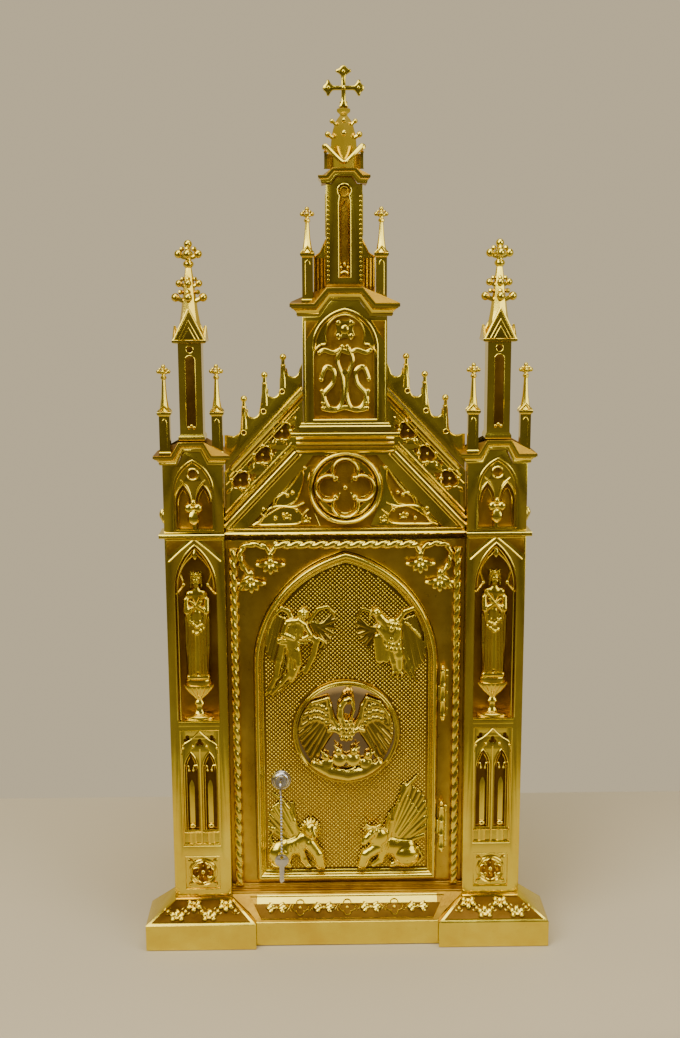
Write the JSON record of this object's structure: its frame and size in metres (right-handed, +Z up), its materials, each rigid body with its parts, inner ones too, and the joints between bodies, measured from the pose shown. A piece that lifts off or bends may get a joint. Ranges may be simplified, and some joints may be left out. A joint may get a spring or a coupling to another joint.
{
  "type": "exposition tabernacle",
  "caption": "Gothic-revival exposition tabernacle in polished cast brass, with pinnacles, a gable, a tower with cross and a hinged arched door to a hollow cabinet.",
  "frame": {"origin": "centre of the bounding box at the height of the feet", "axes": "+Z up, -Y to the front with the door, +X to the viewer's right"},
  "size_m": [0.5, 0.32, 1.058],
  "materials": {
    "polished_brass": "polished and lacquered, with darker amber recesses",
    "cabinet_brass": "satin sheet brass, lacquered",
    "nickel_steel": "nickel plated"
  },
  "bodies": {
    "tabernacle": {"pier_base_right": "polished_brass", "pier_base_left": "polished_brass", "centre_base": "polished_brass", "cabinet": "cabinet_brass", "cabinet_roof": "cabinet_brass", "front_plate": "polished_brass", "rope_column_left": "polished_brass", "rope_column_right": "polished_brass", "rope_lintel": "polished_brass", "corner_tracery_left": "polished_brass", "corner_tracery_right": "polished_brass", "pier_right": "polished_brass", "pier_left": "polished_brass", "statue_right": "polished_brass", "statue_left": "polished_brass", "statue_corbel_right": "polished_brass", "statue_corbel_left": "polished_brass", "string_course_right": "polished_brass", "string_course_left": "polished_brass", "pier_upper_right": "polished_brass", "pier_upper_left": "polished_brass", "pier_cornice_right": "polished_brass", "pier_cornice_left": "polished_brass", "pinnacle_right": "polished_brass", "pinnacle_left": "polished_brass", "corner_pinnacle_1": "polished_brass", "corner_pinnacle_2": "polished_brass", "corner_pinnacle_3": "polished_brass", "corner_pinnacle_4": "polished_brass", "gable": "polished_brass", "gable_crest_left": "polished_brass", "gable_crest_right": "polished_brass", "tower_ledge": "polished_brass", "tower_lower": "polished_brass", "tower_emblem": "polished_brass", "tower_cornice": "polished_brass", "tower_shaft": "polished_brass", "tower_pinnacle_right": "polished_brass", "tower_pinnacle_left": "polished_brass", "tower_cap": "polished_brass", "tower_spire": "polished_brass", "cross": "polished_brass", "hinge_upper_frame": "polished_brass", "hinge_upper_pin": "polished_brass", "hinge_lower_frame": "polished_brass", "hinge_lower_pin": "polished_brass"},
    "door": {"hinge_upper_knuckle": "polished_brass", "hinge_lower_knuckle": "polished_brass", "door_leaf": "polished_brass", "door_moulding": "polished_brass", "medallion": "polished_brass", "pelican_relief": "polished_brass", "angel_relief": "polished_brass", "eagle_relief": "polished_brass", "lion_relief": "polished_brass", "ox_relief": "polished_brass", "lock_cylinder": "nickel_steel", "key": "nickel_steel", "key_chain": "nickel_steel", "spare_key": "nickel_steel"}
  },
  "joints": [
    {"name": "door_hinge", "type": "hinge", "parent": "tabernacle", "child": "door", "pos_m": [0.119, -0.118, 0.28], "axis": [0, 0, 1], "range_deg": [0, 110]}
  ]
}
